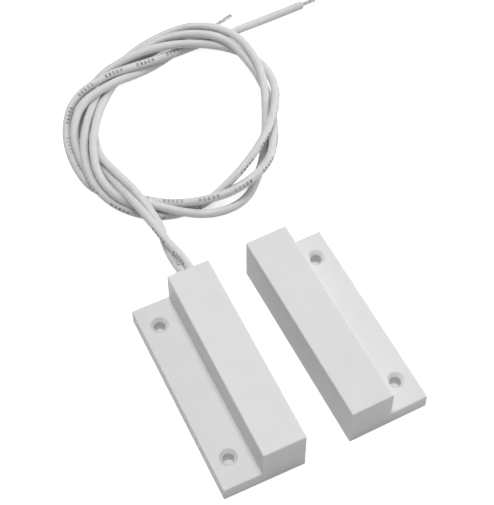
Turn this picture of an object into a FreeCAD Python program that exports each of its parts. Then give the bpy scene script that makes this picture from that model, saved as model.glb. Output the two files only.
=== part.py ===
import FreeCAD, Part
import os
from math import cos, pi, tan

# A surface magnetic door contact: a switch half with two wires and a magnet half beside it.
# Both halves are a tall hollow bar with a low flange for two screws. Each is open from below
# and closed by a plate. Sizes are in millimetres, with x across the pair, y along the bars
# towards the wire end and z up from the mounting faces.

# The two mouldings
LENGTH = 64.0
HEIGHT = 16.4
BAR_WIDTH = 13.4
FLANGE_WIDTH = 12.0
FLANGE_HEIGHT = 5.2
WALL = 1.6
ROOF = 1.6
EDGE_RADIUS = 0.45
POCKET_RADIUS = 0.8

# Screw holes in the flange, countersunk at a right angle. Both lie a little towards the wire end.
SCREW_HOLE = 3.4
SCREW_HEAD = 5.5
SCREW_FROM_END = 8.4
SCREW_SHIFT = 0.4
SCREW_FROM_EDGE = 5.6
SCREW_BOSS = 8.4

# Hollows under the flange
FLANGE_SKIN = 1.8
RIB = 1.2
FLANGE_POCKETS = 4

# Plate that closes the bar from below
PLATE = 1.4
PLATE_LEDGE = 0.7
FIT = 0.1

# Place of the magnet half, turned about the near bottom corner of its bar
HALVES_GAP = 14.2
MAGNET_HALF_Y = 0.5
MAGNET_HALF_TURN = 1.7

# Bar magnet and its cradle
MAGNET_SIDE = 6.35
MAGNET_LENGTH = 38.0
MAGNET_BEVEL = 0.4
CRADLE_SPACING = 26.0
CRADLE_LIP = 1.5

# Reed capsule, its blades and its cradle
GLASS_DIAMETER = 2.2
GLASS_LENGTH = 15.0
GLASS_WALL = 0.35
GLASS_TAPER = 0.8
REED_LENGTH = 44.0
REED_LEAD = 0.6
BLADE_WIDTH = 1.0
BLADE_THICKNESS = 0.2
BLADE_OVERLAP = 1.6
BLADE_GAP = 0.1
GLASS_RIB_SPACING = 9.0
GLASS_LIP = 0.5
SOLDER_DIAMETER = 2.0
SOLDER_LENGTH = 4.0
SOLDER_TAPER = 0.6

# Hook-up wires and where they leave the switch half
WIRE = 2.7
CORE = 0.8
CORE_BARE = 9.0
CORE_STRAIGHT = 3.0
CORE_BEND_END = 2.0
OUTLET_OFF_MIDDLE = 1.2
POTTING_LENGTH = 5.0
TIP_LENGTH = 6.0
TIP_CORE = 1.1

# The loose coil, as a flat ring with an oval outline
COIL_CENTRE = (30.6, 123.8)
COIL_TILT = 40.0
COIL_OUTER = (41.5, 35.5)
COIL_INNER = (29.5, 24.0)
COIL_HEIGHT = 8.2
COIL_EDGE = 2.2
OVAL_END = 0.93

MAGNET_HALF_X = BAR_WIDTH + HALVES_GAP
MIDDLE_Y = LENGTH / 2
FRONT_SCREW_Y = SCREW_FROM_END + SCREW_SHIFT
BACK_SCREW_Y = LENGTH - SCREW_FROM_END + SCREW_SHIFT
MIDDLE_Z = HEIGHT / 2
CAVITY_TOP = HEIGHT - ROOF
OUTLET_X = BAR_WIDTH / 2 + OUTLET_OFF_MIDDLE
LEFT_WIRE_X = OUTLET_X - WIRE / 2
RIGHT_WIRE_X = OUTLET_X + WIRE / 2
REED_X = RIGHT_WIRE_X + (CORE + REED_LEAD) / 2 + FIT
POTTING_START = LENGTH - WALL - POTTING_LENGTH
REED_END = REED_LENGTH / 2

# Free stretches of the wires, each from the end wall of the switch half to inside the coil
LEFT_LEAD = [
    (LEFT_WIRE_X, LENGTH, MIDDLE_Z),
    (LEFT_WIRE_X, 68.5, MIDDLE_Z),
    (6.4, 74.0, 5.8),
    (7.5, 84.0, 2.3),
    (8.5, 94.5, 4.9),
]
RIGHT_LEAD = [
    (RIGHT_WIRE_X, LENGTH, MIDDLE_Z),
    (RIGHT_WIRE_X, 68.5, MIDDLE_Z),
    (9.1, 74.0, 7.8),
    (7.2, 84.0, 5.4),
    (5.8, 94.5, 6.6),
]
LEFT_TAIL = [
    (58.0, 152.0, 1.4),
    (68.5, 152.4, 1.35),
    (79.0, 152.6, 1.35),
    (89.5, 153.0, 1.35),
]
RIGHT_TIP = [(56.0, 155.6, 1.3), (66.0, 159.3, 1.2)]


def vector(point):
    return FreeCAD.Vector(*point)


def box(x0, x1, y0, y1, z0, z1):
    return Part.makeBox(x1 - x0, y1 - y0, z1 - z0, vector((x0, y0, z0)))


def rod_along_y(diameter, x, y0, y1, z):
    return Part.makeCylinder(diameter / 2, y1 - y0, vector((x, y0, z)), vector((0, 1, 0)))


def rounded_box(x0, x1, y0, y1, z0, z1, radius):
    """A box whose four upright edges are rounded, as a moulded pocket has them."""
    block = box(x0, x1, y0, y1, z0, z1)
    upright = [e for e in block.Edges if abs(e.Vertexes[0].Z - e.Vertexes[1].Z) > (z1 - z0) / 2]
    return block.makeFillet(radius, upright)


def tube_path(points):
    """Straight runs joined by tangent arcs, each as large as its two runs allow."""
    corners = [vector(p) for p in points]
    edges = []
    radii = []
    start = corners[0]
    for before, corner, after in zip(corners, corners[1:], corners[2:]):
        back = before - corner
        ahead = after - corner
        reach = 0.45 * min(back.Length, ahead.Length)
        half_turn = (pi - back.getAngle(ahead)) / 2
        radius = reach / tan(half_turn)
        back.normalize()
        ahead.normalize()
        arc_start = corner + back * reach
        arc_end = corner + ahead * reach
        middle = (back + ahead).normalize()
        arc_middle = corner + middle * (radius / cos(half_turn) - radius)
        edges.append(Part.LineSegment(start, arc_start).toShape())
        edges.append(Part.Arc(arc_start, arc_middle, arc_end).toShape())
        radii.append(radius)
        start = arc_end
    edges.append(Part.LineSegment(start, corners[-1]).toShape())
    return Part.Wire(edges), radii


def tube(points, diameter, name):
    """A round wire along its path, with its volume compared with section times length."""
    path, radii = tube_path(points)
    direction = vector(points[1]) - vector(points[0])
    ring = Part.makeCircle(diameter / 2, vector(points[0]), direction)
    solid = path.makePipeShell([Part.Wire([ring])], True, False)
    expected = pi * diameter ** 2 / 4 * path.Length
    smallest = min(radii) if radii else 0.0
    print(f"{name}: length {path.Length:.1f}, smallest radius {smallest:.1f}, "
          f"volume ratio {solid.Volume / expected:.4f}")
    return solid


def outer_form():
    """The solid outline of the switch half: bar and flange in one section, edges rounded."""
    section = [
        (-FLANGE_WIDTH, 0, 0),
        (BAR_WIDTH, 0, 0),
        (BAR_WIDTH, 0, HEIGHT),
        (0, 0, HEIGHT),
        (0, 0, FLANGE_HEIGHT),
        (-FLANGE_WIDTH, 0, FLANGE_HEIGHT),
    ]
    outline = Part.makePolygon([vector(p) for p in section + section[:1]])
    form = Part.Face(outline).extrude(vector((0, LENGTH, 0)))

    def is_rounded(edge):
        ends = [v.Point for v in edge.Vertexes]
        on_floor = all(p.z < FIT for p in ends)
        in_corner = all(abs(p.x) < FIT and abs(p.z - FLANGE_HEIGHT) < FIT for p in ends)
        return not on_floor and not in_corner

    return form.makeFillet(EDGE_RADIUS, [e for e in form.Edges if is_rounded(e)])


def screw_hole(y):
    """A countersunk hole through the flange, at a distance from the front end."""
    x = SCREW_FROM_EDGE - FLANGE_WIDTH
    hole = Part.makeCylinder(SCREW_HOLE / 2, FLANGE_HEIGHT, vector((x, y, 0)))
    depth = (SCREW_HEAD - SCREW_HOLE) / 2
    seat = Part.makeCone(SCREW_HOLE / 2, SCREW_HEAD / 2, depth, vector((x, y, FLANGE_HEIGHT - depth)))
    return hole.fuse(seat)


def flange_pockets():
    """Hollows under the flange between the two screw bosses, parted by ribs."""
    first = FRONT_SCREW_Y + SCREW_BOSS / 2
    span = BACK_SCREW_Y - FRONT_SCREW_Y - SCREW_BOSS
    pitch = (span + RIB) / FLANGE_POCKETS
    pockets = []
    for number in range(FLANGE_POCKETS):
        y0 = first + number * pitch
        y1 = y0 + pitch - RIB
        top = FLANGE_HEIGHT - FLANGE_SKIN
        pockets.append(box(WALL - FLANGE_WIDTH, 0, y0, y1, 0, top))
    return pockets


def bar_cavity():
    inside = rounded_box(WALL, BAR_WIDTH - WALL, WALL, LENGTH - WALL, 0, CAVITY_TOP, POCKET_RADIUS)
    edge = WALL - PLATE_LEDGE
    seat = rounded_box(edge, BAR_WIDTH - edge, edge, LENGTH - edge, 0, PLATE, POCKET_RADIUS)
    return inside.fuse(seat)


def hollow_half():
    """The shell that both halves share: bar, flange, cavity, plate seat and screw holes."""
    cuts = [bar_cavity(), screw_hole(FRONT_SCREW_Y), screw_hole(BACK_SCREW_Y)]
    return outer_form().cut(cuts + flange_pockets())


def plate_form():
    edge = WALL - PLATE_LEDGE + FIT / 2
    return rounded_box(edge, BAR_WIDTH - edge, edge, LENGTH - edge, 0, PLATE, POCKET_RADIUS)


def cradle_ribs(x0, x1, spacing, held, upper):
    """Two ribs notched to the held piece, hanging from the roof or standing on the plate."""
    ribs = []
    for side in (-1, 1):
        y = MIDDLE_Y + side * spacing / 2
        z0, z1 = (MIDDLE_Z, CAVITY_TOP) if upper else (PLATE, MIDDLE_Z - FIT)
        ribs.append(box(x0, x1, y - RIB / 2, y + RIB / 2, z0, z1).cut(held))
    return ribs


def reed_ribs(upper):
    room = rod_along_y(GLASS_DIAMETER + 2 * FIT, REED_X, 0, LENGTH, MIDDLE_Z)
    x0 = REED_X - GLASS_DIAMETER / 2 - FIT - GLASS_LIP
    x1 = BAR_WIDTH - WALL if upper else BAR_WIDTH - WALL - FIT
    return cradle_ribs(x0, x1, GLASS_RIB_SPACING, room, upper)


def wire_slot(y0, y1, room):
    """The long round slot that the two wires fill side by side."""
    height = WIRE + 2 * room
    left = rod_along_y(height, LEFT_WIRE_X, y0, y1, MIDDLE_Z)
    right = rod_along_y(height, RIGHT_WIRE_X, y0, y1, MIDDLE_Z)
    low = MIDDLE_Z - height / 2
    between = box(LEFT_WIRE_X, RIGHT_WIRE_X, y0, y1, low, low + height)
    return left.fuse([right, between]).removeSplitter()


def outlet_potting():
    """The resin block behind the slot, which grips both wires."""
    y1 = LENGTH - WALL
    block = box(WALL, BAR_WIDTH - WALL, POTTING_START, y1, PLATE, CAVITY_TOP)
    return block.common(bar_cavity()).cut(wire_slot(POTTING_START, y1, 0))


def switch_housing():
    shell = hollow_half().cut(wire_slot(LENGTH - WALL, LENGTH, FIT / 2))
    return shell.fuse(reed_ribs(upper=True)).removeSplitter()


def switch_base_plate():
    return plate_form().fuse(reed_ribs(upper=False)).removeSplitter()


def glass_capsule():
    """A glass tube drawn closed at both ends round the two leads."""
    y0 = MIDDLE_Y - GLASS_LENGTH / 2
    outside = rod_along_y(GLASS_DIAMETER, REED_X, y0, y0 + GLASS_LENGTH, MIDDLE_Z)
    outside = outside.makeChamfer(GLASS_TAPER, round_edges(outside))
    bore = GLASS_DIAMETER - 2 * GLASS_WALL
    seal = GLASS_DIAMETER
    inside = rod_along_y(bore, REED_X, y0 + seal, y0 + GLASS_LENGTH - seal, MIDDLE_Z)
    return outside.cut(inside.makeChamfer(GLASS_WALL, round_edges(inside)))


def round_edges(rod):
    return [e for e in rod.Edges if len(e.Vertexes) == 1]


def reed_blade(side):
    """One lead of the reed with its flattened blade inside the glass; side is 1 or -1."""
    outer = MIDDLE_Y + side * REED_END
    root = MIDDLE_Y + side * (GLASS_LENGTH / 2 - GLASS_DIAMETER)
    end = MIDDLE_Y - side * BLADE_OVERLAP / 2
    lead = rod_along_y(REED_LEAD, REED_X, min(outer, root), max(outer, root), MIDDLE_Z)
    low = MIDDLE_Z + side * (BLADE_GAP + BLADE_THICKNESS) / 2 - BLADE_THICKNESS / 2
    half = BLADE_WIDTH / 2
    blade_root = root + side * BLADE_WIDTH / 2
    y0, y1 = sorted((end, blade_root))
    blade = box(REED_X - half, REED_X + half, y0, y1, low, low + BLADE_THICKNESS)
    return lead.fuse(blade)


def solder_joint(side, pieces):
    """The solder that wraps a reed lead and a wire's bare conductor, tapered at both ends."""
    outer = MIDDLE_Y + side * REED_END
    inner = outer - side * SOLDER_LENGTH
    x = (REED_X + RIGHT_WIRE_X) / 2
    drop = rod_along_y(SOLDER_DIAMETER, x, min(outer, inner), max(outer, inner), MIDDLE_Z)
    return drop.makeChamfer(SOLDER_TAPER, round_edges(drop)).cut(pieces)


def left_core():
    """The left wire's bare end, bent over beside the far reed lead."""
    end = MIDDLE_Y - REED_END
    joint = end + SOLDER_LENGTH
    strip = joint + CORE_BARE
    points = [
        (LEFT_WIRE_X, strip, MIDDLE_Z),
        (LEFT_WIRE_X, strip - CORE_STRAIGHT, MIDDLE_Z),
        (RIGHT_WIRE_X, joint + CORE_BEND_END, MIDDLE_Z),
        (RIGHT_WIRE_X, end, MIDDLE_Z),
    ]
    return tube(points, CORE, "left_wire_core"), strip


def switch_pieces():
    near = reed_blade(1)
    far = reed_blade(-1)
    left_bare, left_strip = left_core()
    right_strip = MIDDLE_Y + REED_END - SOLDER_LENGTH
    right_bare = rod_along_y(CORE, RIGHT_WIRE_X, right_strip, POTTING_START, MIDDLE_Z)
    left_inner = rod_along_y(WIRE, LEFT_WIRE_X, left_strip, LENGTH, MIDDLE_Z)
    right_inner = rod_along_y(WIRE, RIGHT_WIRE_X, POTTING_START, LENGTH, MIDDLE_Z)
    return {
        "switch_housing": switch_housing(),
        "switch_base_plate": switch_base_plate(),
        "outlet_potting": outlet_potting(),
        "reed_glass": glass_capsule().cut([near, far]),
        "reed_blade_near": near,
        "reed_blade_far": far,
        "solder_joint_near": solder_joint(1, [near, right_bare]),
        "solder_joint_far": solder_joint(-1, [far, left_bare]),
        "right_wire_inner": right_inner,
        "left_wire_inner": left_inner,
        "right_wire_core": right_bare,
        "left_wire_core": left_bare,
    }


def magnet_block(room):
    """The square bar magnet, or the room it needs in its cradle, near the facing wall."""
    half = MAGNET_SIDE / 2 + room
    x = WALL + CRADLE_LIP + MAGNET_SIDE / 2
    length = MAGNET_LENGTH / 2 + room
    return box(x - half, x + half, MIDDLE_Y - length, MIDDLE_Y + length, MIDDLE_Z - half, MIDDLE_Z + half)


def bar_magnet():
    block = magnet_block(0)
    return block.makeChamfer(MAGNET_BEVEL, block.Edges)


def magnet_ribs(upper):
    gap = 0 if upper else FIT
    x0 = WALL + gap
    x1 = WALL + 2 * CRADLE_LIP + MAGNET_SIDE
    return cradle_ribs(x0, x1, CRADLE_SPACING, magnet_block(FIT), upper)


def magnet_shell():
    """The switch half's shell turned over left to right, with the magnet's ribs."""
    mirrored = hollow_half().mirror(vector((BAR_WIDTH / 2, 0, 0)), vector((1, 0, 0)))
    return mirrored.fuse(magnet_ribs(upper=True)).removeSplitter()


def magnet_pieces():
    pieces = {
        "magnet_housing": magnet_shell(),
        "magnet_base_plate": plate_form().fuse(magnet_ribs(upper=False)).removeSplitter(),
        "bar_magnet": bar_magnet(),
    }
    for shape in pieces.values():
        shape.rotate(vector((0, 0, 0)), vector((0, 0, 1)), MAGNET_HALF_TURN)
        shape.translate(vector((MAGNET_HALF_X, MAGNET_HALF_Y, 0)))
    return pieces


def oval(radii):
    """A closed outline of four tangent arcs, turned to the coil's tilt."""
    long_half, short_half = radii
    end_radius = OVAL_END * short_half
    spare = long_half ** 2 + short_half ** 2 - 2 * long_half * end_radius
    side_radius = spare / (2 * (short_half - end_radius))
    end_centre = vector((long_half - end_radius, 0, 0))
    side_centre = vector((0, short_half - side_radius, 0))
    joint = end_centre + (end_centre - side_centre).normalize() * end_radius
    x, y = joint.x, joint.y
    stops = [(x, -y), (long_half, 0), (x, y), (0, short_half), (-x, y), (-long_half, 0), (-x, -y)]
    stops += [(0, -short_half), (x, -y)]
    stops = [vector((u, v, 0)) for u, v in stops]
    arcs = [Part.Arc(*stops[i:i + 3]).toShape() for i in range(0, len(stops) - 2, 2)]
    outline = Part.Wire(arcs)
    outline.rotate(vector((0, 0, 0)), vector((0, 0, 1)), COIL_TILT)
    outline.translate(vector((COIL_CENTRE[0], COIL_CENTRE[1], 0)))
    return outline


def coil_ring():
    outside = Part.Face(oval(COIL_OUTER)).extrude(vector((0, 0, COIL_HEIGHT)))
    inside = Part.Face(oval(COIL_INNER)).extrude(vector((0, 0, COIL_HEIGHT)))
    ring = outside.cut(inside)
    rims = [e for e in ring.Edges if all(v.Z > COIL_HEIGHT / 2 for v in e.Vertexes)]
    return ring.makeChamfer(COIL_EDGE, rims)


def tip(points, diameter):
    start = vector(points[0])
    direction = vector(points[1]) - start
    return Part.makeCylinder(diameter / 2, direction.Length, start, direction)


def cord_pieces():
    coil = coil_ring()
    tail_end = vector(LEFT_TAIL[-1])
    tail_direction = (tail_end - vector(LEFT_TAIL[-2])).normalize()
    left_tip = [LEFT_TAIL[-1], tail_end + tail_direction * TIP_LENGTH]
    return {
        "wire_coil": coil,
        "left_wire_lead": tube(LEFT_LEAD, WIRE, "left_wire_lead").cut(coil),
        "right_wire_lead": tube(RIGHT_LEAD, WIRE, "right_wire_lead").cut(coil),
        "left_wire_tail": tube(LEFT_TAIL, WIRE, "left_wire_tail").cut(coil),
        "left_wire_tip": tip(left_tip, TIP_CORE),
        "right_wire_tip": tip(RIGHT_TIP, TIP_CORE).cut(coil),
    }


def main():
    pieces = {**switch_pieces(), **magnet_pieces()}
    pair = Part.makeCompound([pieces["switch_housing"], pieces["magnet_housing"]]).BoundBox
    pieces.update(cord_pieces())
    shift = vector((-pair.Center.x, -pair.Center.y, 0))
    print(f"pair {pair.XLength:.2f} by {pair.YLength:.2f} by {pair.ZLength:.2f}, shift {shift}")
    os.makedirs("parts", exist_ok=True)
    for name, shape in pieces.items():
        placed = shape.copy()
        placed.translate(shift)
        solids = placed.Solids
        print(f"{name}: {len(solids)} solid, valid {placed.isValid()}, volume {placed.Volume:.1f}")
        whole = solids[0] if len(solids) == 1 else Part.makeCompound(solids)
        whole.exportStep(f"parts/{name}.step")


main()
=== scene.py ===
import bpy
import numpy as np
from math import cos, pi, radians, sin, sqrt
from mathutils import Matrix, Vector


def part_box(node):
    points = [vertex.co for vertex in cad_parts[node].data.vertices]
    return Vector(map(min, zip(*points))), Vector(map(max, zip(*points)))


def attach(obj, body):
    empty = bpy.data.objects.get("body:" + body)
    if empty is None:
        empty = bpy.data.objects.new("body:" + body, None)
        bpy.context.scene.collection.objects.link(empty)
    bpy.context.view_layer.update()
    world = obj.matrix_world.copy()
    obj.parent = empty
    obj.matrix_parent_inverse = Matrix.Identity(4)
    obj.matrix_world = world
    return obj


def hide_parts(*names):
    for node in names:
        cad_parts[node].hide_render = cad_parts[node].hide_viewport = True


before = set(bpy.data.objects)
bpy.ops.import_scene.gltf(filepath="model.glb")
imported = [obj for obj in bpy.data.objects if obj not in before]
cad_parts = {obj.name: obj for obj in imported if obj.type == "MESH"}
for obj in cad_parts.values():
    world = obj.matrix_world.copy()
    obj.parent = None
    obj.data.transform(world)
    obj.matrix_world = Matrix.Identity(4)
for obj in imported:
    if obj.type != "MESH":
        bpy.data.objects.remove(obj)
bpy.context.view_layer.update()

# A magnetic door contact: two white moulded halves and the loose coil of the switch half's two
# wires. Everything is in metres. Route points are given in the pair frame, whose x starts at the
# left face of the switch half's bar and whose y starts at the front ends, as in the solid model.

FLANGE_WIDTH = 0.012
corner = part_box("switch_housing")[0]
PAIR = Vector((corner.x + FLANGE_WIDTH, corner.y, 0.0))

WIRE = 0.0027
REST = WIRE / 2


def placed(point):
    """A point of the pair frame in the row frame."""
    return PAIR + Vector(point)


# The two wires. Both leads follow the solid model's route, with one more point on the long run, and
# end a little sooner, where the coil's turns take over.
LEFT_LEAD = [
    (0.00655, 0.0640, 0.0082),
    (0.00655, 0.0680, 0.0082),
    (0.00660, 0.0740, 0.0054),
    (0.00690, 0.0790, 0.0034),
    (0.00750, 0.0840, 0.0023),
    (0.00865, 0.0893, 0.0033),
]
RIGHT_LEAD = [
    (0.00925, 0.0640, 0.0082),
    (0.00925, 0.0680, 0.0082),
    (0.00880, 0.0740, 0.0077),
    (0.00785, 0.0790, 0.0063),
    (0.00720, 0.0840, 0.0054),
    (0.00650, 0.0892, 0.0053),
]
LEFT_TAIL = [
    (0.0445, 0.1516, 0.0020),
    (0.0515, 0.1518, 0.0020),
    (0.0580, 0.1520, 0.0014),
    (0.0685, 0.1524, 0.00135),
    (0.0790, 0.1526, 0.00135),
    (0.0895, 0.1530, 0.00135),
]
RIGHT_TAIL = [
    (0.0484, 0.1546, 0.0016),
    (0.0537, 0.1560, 0.0015),
    (0.0588, 0.1572, 0.00135),
]

# Each wire goes round the coil clockwise in steps of 20 degrees. A station is (lane, level): how
# many lanes the wire lies outside the coil's middle oval there, and how many it lies up.
LANE = 0.0025
LEFT_STATIONS = [
    (-1.5, 2.2), (-2.3, 1.6), (-1.8, 0.3), (-1.3, 0), (-0.5, 0), (-0.5, 0), (-1.0, 0),
    (0.2, 0), (2.2, 0), (1.5, 0), (-0.4, 0), (-0.64, 0), (-0.4, 0), (0.38, 0.2), (1.1, 1.0),
    (0.2, 0.3), (-0.88, 0), (-0.6, 0), (-0.1, 0.6), (-0.38, 1), (-1.14, 1), (-1.6, 1),
    (-1.5, 0.9), (-1.3, 0.7), (-0.1, 0), (1.2, 0.3), (0.5, 1.5), (0.3, 1.7), (-0.83, 1.0),
    (-0.98, 1.0), (-0.57, 1.0), (0.42, 1.1), (1.57, 2.0), (0.97, 1.4), (0.5, 2.0), (-0.95, 0.6),
    (-1.6, 0), (0.8, 0), (1.4, 0), (2.3, 0), (2.45, 0.8), (-0.15, 1.8), (-2.15, 1.6), (-2.35, 0.8),
]
RIGHT_STATIONS = [
    (-0.1, 2.2), (-1.3, 1.7), (-1.3, 0.5), (0.35, 0), (0.85, 0), (1.45, 0), (0.2, 0.9),
    (-0.46, 1.0), (-0.86, 1.0), (-0.2, 0.5), (0.95, 0.3), (0.5, 1.0), (-0.2, 2.0), (-0.8, 1.4),
    (-1.5, 0.2), (-1.43, 0), (-0.05, 0.6), (0.55, 0.3), (0.95, 0.9), (0.77, 1), (0.05, 1),
    (-0.42, 1), (-0.6, 1), (-0.3, 0.8), (0.9, 0), (1.82, 0), (2.05, 1.5), (2.2, 1.0), (0.0, 1.8),
    (-0.95, 1.6), (-1.2, 0.5), (-0.65, 0), (0.5, 0), (2.25, 0), (1.7, 0.4), (0.05, 1.2),
    (-1.0, 0.6), (0.1, 0), (0.62, 0), (1.28, 0), (1.26, 0.5), (-1.65, 1.6), (-2.95, 1.0), (-2.65, 0.3),
]
COIL_CENTRE = (0.0306, 0.1238)
COIL_TILT = radians(40)
COIL_LONG = 0.0355
COIL_SHORT = 0.0300
FIRST_ANGLE = radians(220)
STEP = radians(20)
CUT_IN = cos(STEP / 2) ** 0.75   # a spline passes a little inside its control points

EYE = (-0.078686, -0.154779, 0.385704)


def coil_turns(stations):
    """The control points of one wire's turns round the coil's oval."""
    points = []
    for number, (lane, level) in enumerate(stations):
        angle = FIRST_ANGLE - number * STEP
        turned = angle - COIL_TILT
        oval = COIL_LONG * COIL_SHORT / sqrt((COIL_SHORT * cos(turned)) ** 2 + (COIL_LONG * sin(turned)) ** 2)
        radius = (oval + lane * LANE) / CUT_IN
        x = COIL_CENTRE[0] + radius * cos(angle)
        y = COIL_CENTRE[1] + radius * sin(angle)
        points.append((x, y, LANE / 2 + level * LANE))
    return points


def spline_weights(count, per_span):
    """Rows that turn the control points of an order 3 spline into points along it."""
    spans = count - 2
    knots = np.concatenate([[0, 0], np.arange(spans + 1), [spans, spans]]).astype(float)
    u = np.linspace(0, spans - 1e-9, spans * per_span + 1)
    basis = [((u >= a) & (u < b)).astype(float) for a, b in zip(knots, knots[1:])]
    for degree in (1, 2):
        raised = []
        for i in range(len(basis) - 1):
            total = np.zeros_like(u)
            first = knots[i + degree] - knots[i]
            second = knots[i + degree + 1] - knots[i + 1]
            if first > 0:
                total += (u - knots[i]) / first * basis[i]
            if second > 0:
                total += (knots[i + degree + 1] - u) / second * basis[i + 1]
            raised.append(total)
        basis = raised
    return np.array(basis).T


HELD_POINTS = 4            # at the outlet, where the housing holds the wire
PER_SPAN = 8               # points read from each span of a spline
ROUNDS = 500
SINK = 0.00003             # fall of each point in a round
BEND = 0.25                # share of the way to the smooth height between its neighbours
KEEP_IN_VIEW = 0.2         # share of the way back to the line of sight
NEAR = 1.5 * WIRE          # pairs of points this close are watched for contact
OWN_REACH = 3 * PER_SPAN   # points of one wire closer along it than this never push each other
PUSHES = 2                 # in each round
SIDEWAYS = 0.6             # share of a push that works sideways
PUSH_GAIN = 1.2
LEAST_SHARE = 0.3          # keeps a control point that few contacts reach from jumping


def settle(routes):
    """Lets the wires sink onto the floor and each other: turns that meet are pushed apart, up
    more than sideways, and each point stays in the line of sight in which the photograph has it."""
    points = [np.array(route, float) for route in routes]
    first = [p.copy() for p in points]
    weights = [spline_weights(len(p), PER_SPAN) for p in points]
    sizes = [len(w) for w in weights]
    stops = np.cumsum([0] + sizes)
    wire = np.concatenate([np.full(size, i) for i, size in enumerate(sizes)])
    place = np.concatenate([np.arange(size) for size in sizes])
    eye = np.array(EYE)
    rays = [(eye - p) / (eye - p)[:, 2:3] for p in first]
    for turn in range(ROUNDS):
        line = np.vstack([w @ p for w, p in zip(weights, points)])
        if turn % PER_SPAN == 0:
            apart = np.linalg.norm(line[:, None, :] - line[None, :, :], axis=2)
            a, b = np.where(np.triu(apart < NEAR, 1))
            other = (wire[a] != wire[b]) | (np.abs(place[a] - place[b]) > OWN_REACH)
            a, b = a[other], b[other]
        for i, p in enumerate(points):
            moved = p.copy()
            moved[:, 2] -= SINK
            wanted = first[i] + rays[i] * (moved[:, 2:3] - first[i][:, 2:3])
            moved[:, :2] += KEEP_IN_VIEW * (wanted - moved)[:, :2]
            z = p[:, 2]
            bend = np.zeros(len(p))
            bend[2:-2] = (4 * z[1:-3] + 4 * z[3:-1] - z[:-4] - z[4:]) / 6 - z[2:-2]
            moved[:, 2] += BEND * bend
            points[i][HELD_POINTS:] = moved[HELD_POINTS:]
        for push_again in range(PUSHES):
            line = np.vstack([w @ p for w, p in zip(weights, points)])
            between = line[a] - line[b]
            gap = np.linalg.norm(between, axis=1)
            close = gap < WIRE
            push = ((WIRE - gap[close]) / 2 / gap[close])[:, None] * between[close]
            push[:, :2] *= SIDEWAYS
            moves = np.zeros_like(line)
            hits = np.zeros(len(line))
            np.add.at(moves, a[close], push)
            np.add.at(moves, b[close], -push)
            np.add.at(hits, a[close], 1)
            np.add.at(hits, b[close], 1)
            moves /= np.maximum(hits, 1)[:, None]
            for i, w in enumerate(weights):
                rows = slice(stops[i], stops[i + 1])
                share = w.T @ (hits[rows] > 0).astype(float)
                step = (w.T @ moves[rows]) / np.maximum(share, LEAST_SHARE)[:, None]
                points[i][HELD_POINTS:] += PUSH_GAIN * step[HELD_POINTS:]
                points[i][:, 2] = np.maximum(points[i][:, 2], REST)
    return [[tuple(point) for point in p] for p in points]


ROUTE_RESOLUTION = 24


def route_line(points):
    """Points along the smooth NURBS line through the route, read from the spline itself."""
    data = bpy.data.curves.new("route", "CURVE")
    data.dimensions = "3D"
    spline = data.splines.new("NURBS")
    spline.points.add(len(points) - 1)
    for target, point in zip(spline.points, points):
        target.co = (*placed(point), 1.0)
    spline.order_u = 3
    spline.use_endpoint_u = True
    spline.resolution_u = ROUTE_RESOLUTION
    data.resolution_u = ROUTE_RESOLUTION
    holder = bpy.data.objects.new("route", data)
    bpy.context.scene.collection.objects.link(holder)
    bpy.context.view_layer.update()
    mesh = bpy.data.meshes.new_from_object(holder)
    line = [v.co.copy() for v in mesh.vertices]
    bpy.data.objects.remove(holder)
    bpy.data.meshes.remove(mesh)
    bpy.data.curves.remove(data)
    return line


def evenly(line, pitch):
    """The line's points at even steps, with how far along each one is."""
    array = np.array([tuple(p) for p in line])
    along = np.concatenate([[0], np.cumsum(np.linalg.norm(np.diff(array, axis=0), axis=1))])
    count = max(2, round(along[-1] / pitch) + 1)
    stops = np.linspace(0, along[-1], count)
    even = np.stack([np.interp(stops, along, array[:, k]) for k in range(3)], 1)
    return [Vector(p) for p in even], list(stops)


def frames_along(line):
    """Side and up directions along a line, with up as near to the sky as the line allows."""
    result = []
    last = len(line) - 1
    for i in range(len(line)):
        ahead = (line[min(i + 1, last)] - line[max(i - 1, 0)]).normalized()
        side = ahead.cross(Vector((0, 0, 1))).normalized()
        result.append((side, side.cross(ahead)))
    return result


def ring(point, side, up, radius, sides):
    """Points round a line's point, from its top towards its side."""
    angles = [2 * pi * k / sides for k in range(sides)]
    return [point + radius * (cos(angle) * up + sin(angle) * side) for angle in angles]


def tube_faces(base, steps, sides):
    """A tube's skin and then its two ends, for rings of vertices that start at number base."""
    faces = []
    for i in range(steps):
        row = base + i * sides
        for k in range(sides):
            n = (k + 1) % sides
            faces.append((row + k, row + n, row + sides + n, row + sides + k))
    faces.append(tuple(base + k for k in range(sides)))
    faces.append(tuple(base + steps * sides + k for k in reversed(range(sides))))
    return faces


def mesh_piece(name, vertices, faces):
    """A new piece of the scene, smooth on its skin and flat on its ends."""
    mesh = bpy.data.meshes.new(name)
    mesh.from_pydata([tuple(v) for v in vertices], [], faces)
    mesh.update()
    for polygon in mesh.polygons:
        polygon.use_smooth = len(polygon.vertices) == 4
    piece = bpy.data.objects.new(name, mesh)
    bpy.context.scene.collection.objects.link(piece)
    return piece


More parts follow.
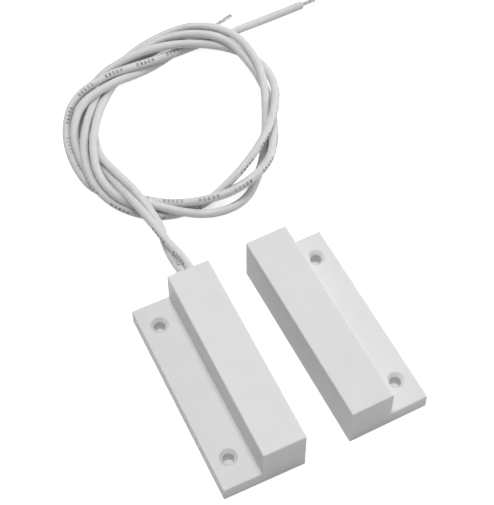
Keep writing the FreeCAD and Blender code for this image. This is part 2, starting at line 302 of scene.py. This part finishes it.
def sweep(name, line, along, radius, sides, print_angle):
    """A round skin along a line. Its map runs along the wire in metres and round it in turns, and
    the printed line lies where the turns are whole."""
    vertices = []
    for point, (side, up) in zip(line, frames_along(line)):
        vertices += ring(point, side, up, radius, sides)
    last = len(line) - 1
    piece = mesh_piece(name, vertices, tube_faces(0, last, sides))
    uvs = []
    for i in range(last):
        for k in range(sides):
            for row, step in ((i, k), (i, k + 1), (i + 1, k + 1), (i + 1, k)):
                uvs.append((along[row], step / sides - print_angle(along[row]) / (2 * pi)))
    for row in (0, last):
        uvs += [(along[row], -1.0)] * sides
    layer = piece.data.uv_layers.new(name="along_and_round")
    for loop, uv in zip(layer.data, uvs):
        loop.uv = uv
    return piece


STRAND = 0.00047
STRAND_LAY = 0.006       # length in which a strand goes once round the middle one
STRAND_COUNT = 7
STRAND_SIDES = 10
STRAND_STEPS = 60
STRAND_INSIDE = 0.0008   # how far the strands start inside the insulation
UNEVEN_ENDS = 0.10       # largest share by which a strand is cut short
TIP_TAPER = 0.8


def strand_bundle(name, start, end, splay, seed):
    """Seven tinned strands: one straight in the middle and six wound round it, a little loose."""
    rng = np.random.default_rng(seed)
    ahead = (end - start).normalized()
    side = ahead.cross(Vector((0, 0, 1))).normalized()
    up = side.cross(ahead)
    length = (end - start).length
    vertices = []
    faces = []
    for number in range(STRAND_COUNT):
        middle = number == 0
        phase = number * pi / 3
        reach = length * (1 - UNEVEN_ENDS * rng.random())
        loose = splay * rng.random()
        line = []
        for i in range(STRAND_STEPS + 1):
            s = i / STRAND_STEPS * reach
            out = 0 if middle else STRAND * (1.0 + loose * (s / length) ** 2)
            turn = phase + 2 * pi * s / STRAND_LAY
            line.append(start + ahead * (s - STRAND_INSIDE) + out * (cos(turn) * up + sin(turn) * side))
        faces += tube_faces(len(vertices), STRAND_STEPS, STRAND_SIDES)
        for i, (point, directions) in enumerate(zip(line, frames_along(line))):
            radius = STRAND / 2 * (1.0 if i < STRAND_STEPS else TIP_TAPER)
            vertices += ring(point, *directions, radius, STRAND_SIDES)
    return mesh_piece(name, vertices, faces)


left_route, right_route = settle([
    LEFT_LEAD + coil_turns(LEFT_STATIONS) + LEFT_TAIL,
    RIGHT_LEAD + coil_turns(RIGHT_STATIONS) + RIGHT_TAIL,
])


class Nodes:
    """Short ways to add and join a material's nodes."""

    def __init__(self, name):
        self.material = bpy.data.materials.new(name)
        self.material.use_nodes = True
        self.tree = self.material.node_tree
        self.shader = self.tree.nodes["Principled BSDF"]

    def add(self, kind, **settings):
        node = self.tree.nodes.new(kind)
        for key, value in settings.items():
            setattr(node, key, value)
        return node

    def join(self, output, target):
        self.tree.links.new(output, target)

    def math(self, operation, *values):
        node = self.add("ShaderNodeMath", operation=operation)
        for socket, value in zip(node.inputs, values):
            if isinstance(value, (int, float)):
                socket.default_value = value
            else:
                self.join(value, socket)
        return node.outputs[0]

    def noise(self, scale, detail=3.0):
        where = self.add("ShaderNodeTexCoord")
        node = self.add("ShaderNodeTexNoise")
        node.inputs["Scale"].default_value = scale
        node.inputs["Detail"].default_value = detail
        self.join(where.outputs["Object"], node.inputs["Vector"])
        return node.outputs["Fac"]

    def spread(self, value, low_in, high_in, low_out, high_out):
        node = self.add("ShaderNodeMapRange")
        limits = {"From Min": low_in, "From Max": high_in, "To Min": low_out, "To Max": high_out}
        for name, number in limits.items():
            node.inputs[name].default_value = number
        self.join(value, node.inputs["Value"])
        return node.outputs["Result"]

    def mixed(self, factor, first, second):
        """A mix of two colours, which are sockets 6 and 7 of the node, with the result in 2."""
        node = self.add("ShaderNodeMix", data_type="RGBA")
        self.join(factor, node.inputs["Factor"])
        for socket, value in ((node.inputs[6], first), (node.inputs[7], second)):
            if isinstance(value, tuple):
                socket.default_value = (*value, 1.0)
            else:
                self.join(value, socket)
        return node.outputs[2]

    def bump(self, height, distance):
        node = self.add("ShaderNodeBump")
        node.inputs["Distance"].default_value = distance
        self.join(height, node.inputs["Height"])
        self.join(node.outputs["Normal"], self.shader.inputs["Normal"])

    def set(self, **values):
        for name, value in values.items():
            self.shader.inputs[name.replace("_", " ")].default_value = value

    def translucent(self, weight, reach):
        self.set(Subsurface_Weight=weight, Subsurface_Scale=reach)
        self.shader.inputs["Subsurface Radius"].default_value = (1.0, 1.0, 1.0)


def moulded_plastic(name, base, shade):
    """White moulded ABS: faint flow clouds in the colour and a fine spark-eroded grain."""
    m = Nodes(name)
    clouds = m.spread(m.noise(120.0, 4.0), 0.3, 0.7, 0.0, 1.0)
    m.join(m.mixed(clouds, base, shade), m.shader.inputs["Base Color"])
    grain = m.noise(5200.0, 2.0)
    m.join(m.spread(grain, 0.3, 0.7, 0.42, 0.58), m.shader.inputs["Roughness"])
    m.bump(grain, 0.000012)
    m.set(IOR=1.5)
    m.translucent(0.5, 0.0012)
    return m.material


# The print on the wires: groups of plain dashes
MARK_GROUP = 0.0112
MARKS_IN_GROUP = 5
MARK_PITCH = 0.00138
MARK_LENGTH = 0.00080
MARK_HEIGHT = 0.00115   # round the wire
MARK_START = 0.0050
INK = (0.17, 0.17, 0.17)


def insulation():
    """White PVC with a row of small grey printed marks along one side, in groups."""
    m = Nodes("wire_insulation")
    clouds = m.spread(m.noise(350.0, 2.0), 0.35, 0.65, 0.0, 1.0)
    body = m.mixed(clouds, (0.69, 0.69, 0.69), (0.66, 0.66, 0.66))
    where = m.add("ShaderNodeUVMap", uv_map="along_and_round")
    split = m.add("ShaderNodeSeparateXYZ")
    m.join(where.outputs["UV"], split.inputs[0])
    along, around = m.math("ADD", split.outputs[0], MARK_START), split.outputs[1]
    from_group = m.math("MODULO", along, MARK_GROUP)
    in_group = m.math("LESS_THAN", from_group, MARKS_IN_GROUP * MARK_PITCH)
    in_mark = m.math("LESS_THAN", m.math("MODULO", from_group, MARK_PITCH), MARK_LENGTH)
    off_line = m.math("ABSOLUTE", m.math("WRAP", around, 0.5, -0.5))
    across = m.math("LESS_THAN", off_line, MARK_HEIGHT / (2 * pi * WIRE))
    marks = m.math("MULTIPLY", m.math("MULTIPLY", in_group, in_mark), across)
    worn = m.spread(m.noise(1500.0, 2.0), 0.38, 0.62, 0.45, 1.0)
    faint = m.spread(m.noise(52.0, 1.0), 0.40, 0.55, 0.45, 0.95)
    strength = m.math("MULTIPLY", marks, m.math("MULTIPLY", worn, faint))
    m.join(m.mixed(strength, body, INK), m.shader.inputs["Base Color"])
    grain = m.noise(1800.0, 2.0)
    m.join(m.spread(grain, 0.3, 0.7, 0.46, 0.56), m.shader.inputs["Roughness"])
    m.bump(grain, 0.00001)
    m.set(IOR=1.5)
    m.translucent(1.0, 0.0028)
    return m.material


def metal(name, light, dark, low, high, scale=900.0, metallic=1.0):
    """Metal with light and dark patches, and a roughness that varies from low to high."""
    m = Nodes(name)
    patches = m.spread(m.noise(scale, 3.0), 0.35, 0.65, 0.0, 1.0)
    m.join(m.mixed(patches, light, dark), m.shader.inputs["Base Color"])
    m.join(m.spread(m.noise(scale * 3, 2.0), 0.3, 0.7, low, high), m.shader.inputs["Roughness"])
    m.bump(m.noise(scale * 4, 2.0), 0.000008)
    m.set(Metallic=metallic)
    return m.material


def clear_material(name, tint, rough, ior, through):
    """Glass or resin, which lets the share through of its light pass."""
    m = Nodes(name)
    streaks = m.spread(m.noise(500.0, 2.0), 0.3, 0.7, 0.0, 1.0)
    paler = tuple(min(1.0, channel * 1.05) for channel in tint)
    m.join(m.mixed(streaks, tint, paler), m.shader.inputs["Base Color"])
    m.join(m.spread(m.noise(1500.0, 2.0), 0.3, 0.7, rough, rough + 0.05), m.shader.inputs["Roughness"])
    m.set(IOR=ior, Transmission_Weight=through)
    return m.material


white = moulded_plastic("white_plastic", (0.76, 0.76, 0.76), (0.735, 0.735, 0.735))
pvc = insulation()
copper = metal("tinned_copper", (0.62, 0.61, 0.59), (0.42, 0.41, 0.39), 0.25, 0.45)
strand_metal = metal("tinned_strands", (0.78, 0.78, 0.77), (0.42, 0.42, 0.41), 0.3, 0.5, metallic=0.6)
steel = metal("reed_alloy", (0.66, 0.65, 0.63), (0.58, 0.57, 0.55), 0.2, 0.32)
solder = metal("solder", (0.72, 0.72, 0.73), (0.55, 0.55, 0.57), 0.15, 0.35)
magnet_metal = metal("magnet_metal", (0.22, 0.215, 0.21), (0.15, 0.15, 0.15), 0.45, 0.62, 400.0)
glass = clear_material("glass", (0.86, 0.96, 0.90), 0.02, 1.5, 1.0)
resin = clear_material("resin", (0.86, 0.83, 0.76), 0.25, 1.52, 0.15)


# The printed line turns slowly round each wire: how far along it, and degrees from the top
# towards the right of its run.
LEFT_PRINT = [
    (0.000, 0), (0.016, 15), (0.050, -170), (0.370, -170), (0.390, -65), (0.405, -62), (0.417, -38),
    (0.432, -8), (0.470, 22), (0.485, 18), (0.500, 22), (0.512, 28), (0.525, 25), (0.537, 5),
    (0.560, -150), (0.600, -170),
]
RIGHT_PRINT = [
    (0.000, -50), (0.012, -70), (0.025, -80), (0.055, -175), (0.140, -175), (0.160, -80), (0.240, -68),
    (0.280, -76), (0.305, -170), (0.600, -170),
]


RING_PITCH = 0.0007
RING_SIDES = 24


def make_wire(name, route, print_line):
    """One wire's insulation as a skin along its line, with the line's points and its length."""
    even, along = evenly(route_line(route), RING_PITCH)
    distances, degrees = zip(*print_line)
    print_angle = lambda s: radians(np.interp(s, distances, degrees))
    piece = sweep(name, even, along, REST, RING_SIDES, print_angle)
    piece.data.materials.append(pvc)
    return piece, even, along[-1]


wires = {
    "left_wire": make_wire("left_wire", left_route, LEFT_PRINT),
    "right_wire": make_wire("right_wire", right_route, RIGHT_PRINT),
}

# Where the bare strands end, how far they splay and the seed of their looseness
LEFT_TIP_END = (0.0955, 0.15323, 0.00135)
LEFT_SPLAY = 0.4
LEFT_SEED = 3
RIGHT_TIP_END = (0.0666, 0.1595, 0.0012)
RIGHT_SPLAY = 0.25
RIGHT_SEED = 8
left_end = wires["left_wire"][1][-1]
right_end = wires["right_wire"][1][-1]
left_strands = strand_bundle("left_strands", left_end, placed(LEFT_TIP_END), LEFT_SPLAY, LEFT_SEED)
right_strands = strand_bundle("right_strands", right_end, placed(RIGHT_TIP_END), RIGHT_SPLAY, RIGHT_SEED)
for strands in (left_strands, right_strands):
    strands.data.materials.append(strand_metal)

replaced = {
    "left_wire": ("left_wire_lead", "left_wire_tail", "wire_coil"),
    "right_wire": ("right_wire_lead",),
}
tips = {"left_wire": (left_strands, "left_wire_tip"), "right_wire": (right_strands, "right_wire_tip")}
for name, (piece, line, length) in wires.items():
    strands, tip_node = tips[name]
    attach(piece, "root")
    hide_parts(*replaced[name])
    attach(strands, "root")
    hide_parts(tip_node)
    print(name, "length", round(length, 4))


# Materials of the solids that come over as they are
SLOTS = {
    "switch_housing": white, "switch_base_plate": white, "magnet_housing": white, "magnet_base_plate": white,
    "outlet_potting": resin, "reed_glass": glass, "reed_blade_near": steel, "reed_blade_far": steel,
    "solder_joint_near": solder, "solder_joint_far": solder, "right_wire_inner": pvc, "left_wire_inner": pvc,
    "right_wire_core": copper, "left_wire_core": copper, "bar_magnet": magnet_metal,
}
for node, material in SLOTS.items():
    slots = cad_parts[node].data.materials
    slots.clear()
    slots.append(material)


# Screw holes in the row frame; the magnet half is turned about the near corner of its bar
SCREW_Y = (0.0088, 0.0560)
SCREW_X = -0.0064
BAR_WIDTH = 0.0134
MAGNET_CORNER = Vector((0.0276, 0.0005, 0.0))
MAGNET_TURN = Matrix.Rotation(radians(1.7), 3, "Z")
SCREW_HOLES = [placed((SCREW_X, y, 0.0)) for y in SCREW_Y]
SCREW_HOLES += [placed(MAGNET_CORNER + MAGNET_TURN @ Vector((BAR_WIDTH - SCREW_X, y, 0.0))) for y in SCREW_Y]

# Light in watts. The floor glows like a light table, only to the camera and in gloss and glass.
FLOOR_GLOW = 0.88
WORLD_LIGHT = 0.27
LAMP_TARGET = (0.0, 0.05, 0.0)
KEY_PLACE = (-0.04, 0.45, 1.55)
KEY_SIZE = 0.5
KEY_WATTS = 15.0
SIDE_PLACE = (1.00, 0.05, 0.24)
SIDE_SIZE = 0.3
SIDE_WATTS = 3.9
FILL_PLACE = (-0.10, -1.30, 0.45)
FILL_SIZE = 0.6
FILL_WATTS = 1.3
GAP_REACH = 0.010
GAP_SKY = (0.06, 0.17)   # share of the sky that floor in a narrow gap sees: no glow, full glow
HOLE_SHADE = 0.0030      # radius of the painted shade and painted light on the floor under each screw hole
HOLE_GLOW = 0.56         # painted light: glow of the floor under each screw hole, on every ray, which lights the hole's walls
FLOOR_REACH = 3.0
FLOOR_DROP = 0.00002     # keeps the floor just clear of the pieces that lie on it
PAPER = (0.54, 0.54, 0.54)
PAPER_PATCHES = (0.53, 0.53, 0.53)
# painted shade: the dark colour of the floor under each screw hole
HOLE_PAINTED_SHADE = (0.20, 0.20, 0.20)


def away_from_holes(m):
    """1 on the open floor and 0 under the screw holes, where the floor carries painted shade and painted
    light.
    """
    where = m.add("ShaderNodeTexCoord")
    open_floor = 1.0
    for hole in SCREW_HOLES:
        distance = m.add("ShaderNodeVectorMath", operation="DISTANCE")
        m.join(where.outputs["Object"], distance.inputs[0])
        distance.inputs[1].default_value = hole
        outside = m.math("GREATER_THAN", distance.outputs["Value"], HOLE_SHADE)
        open_floor = m.math("MULTIPLY", open_floor, outside)
    return open_floor


def make_floor():
    """The pale floor, with its glow added to plain paper, and with painted shade and painted light under the
    screw holes.
    """
    data = bpy.data.meshes.new("floor")
    corners = [(x * FLOOR_REACH, y * FLOOR_REACH, 0) for x, y in ((-1, -1), (1, -1), (1, 1), (-1, 1))]
    data.from_pydata(corners, [], [(0, 1, 2, 3)])
    data.update()
    floor = bpy.data.objects.new("floor", data)
    floor.location.z = -FLOOR_DROP
    bpy.context.scene.collection.objects.link(floor)
    m = Nodes("floor_paper")
    open_floor = away_from_holes(m)
    paper = m.mixed(m.noise(30.0), PAPER, PAPER_PATCHES)
    # painted shade: the floor under each screw hole is coloured dark
    m.join(m.mixed(open_floor, HOLE_PAINTED_SHADE, paper), m.shader.inputs["Base Color"])
    m.set(Roughness=0.9)
    glow = m.add("ShaderNodeEmission")
    glow.inputs["Color"].default_value = (1, 1, 1, 1)
    rays = m.add("ShaderNodeLightPath")
    seen = m.math("MAXIMUM", rays.outputs["Is Camera Ray"], rays.outputs["Is Glossy Ray"])
    seen = m.math("MAXIMUM", seen, rays.outputs["Is Transmission Ray"])
    sky = m.add("ShaderNodeAmbientOcclusion", samples=16)
    sky.inputs["Distance"].default_value = GAP_REACH
    seen = m.math("MULTIPLY", seen, m.spread(sky.outputs["AO"], *GAP_SKY, 0.0, 1.0))
    open_glow = m.math("MULTIPLY", seen, m.math("MULTIPLY", open_floor, FLOOR_GLOW))
    # painted light: the floor under each screw hole glows on every ray and lights the hole's walls
    hole_glow = m.math("MULTIPLY", m.math("SUBTRACT", 1.0, open_floor), HOLE_GLOW)
    m.join(m.math("ADD", open_glow, hole_glow), glow.inputs["Strength"])
    both = m.add("ShaderNodeAddShader")
    m.join(m.shader.outputs[0], both.inputs[0])
    m.join(glow.outputs[0], both.inputs[1])
    m.join(both.outputs[0], m.tree.nodes["Material Output"].inputs["Surface"])
    data.materials.append(m.material)


def make_world(strength):
    world = bpy.data.worlds.new("studio")
    world.use_nodes = True
    back = world.node_tree.nodes["Background"]
    back.inputs["Color"].default_value = (1, 1, 1, 1)
    back.inputs["Strength"].default_value = strength
    bpy.context.scene.world = world


def area_lamp(name, place, target, size, watts):
    data = bpy.data.lights.new(name, "AREA")
    data.shape = "DISK"
    data.size = size
    data.energy = watts
    lamp = bpy.data.objects.new(name, data)
    lamp.location = place
    lamp.rotation_mode = "QUATERNION"
    lamp.rotation_quaternion = (Vector(target) - Vector(place)).to_track_quat("-Z", "Y")
    bpy.context.scene.collection.objects.link(lamp)


PHOTO_HEIGHT = 505   # pixels; half a pixel of shift puts pixel centres where the photograph has them
SENSOR = 36.0        # millimetres, as is the lens
LENS = 106.72
CAMERA_TURN = (32.9336, 0.0860, -25.7212)   # degrees about X, Y and Z


def make_camera():
    data = bpy.data.cameras.new("camera")
    data.sensor_width = SENSOR
    data.lens = LENS
    data.shift_x = -0.5 / PHOTO_HEIGHT
    data.shift_y = 0.5 / PHOTO_HEIGHT
    data.clip_start = 0.01
    data.clip_end = 10.0
    camera = bpy.data.objects.new("camera", data)
    camera.location = placed(EYE)
    camera.rotation_mode = "XYZ"
    camera.rotation_euler = [radians(angle) for angle in CAMERA_TURN]
    bpy.context.scene.collection.objects.link(camera)
    bpy.context.scene.camera = camera


make_floor()
make_world(WORLD_LIGHT)
area_lamp("key", KEY_PLACE, LAMP_TARGET, KEY_SIZE, KEY_WATTS)
area_lamp("side", SIDE_PLACE, LAMP_TARGET, SIDE_SIZE, SIDE_WATTS)
area_lamp("fill", FILL_PLACE, LAMP_TARGET, FILL_SIZE, FILL_WATTS)
make_camera()
bpy.context.scene.view_settings.view_transform = "Standard"
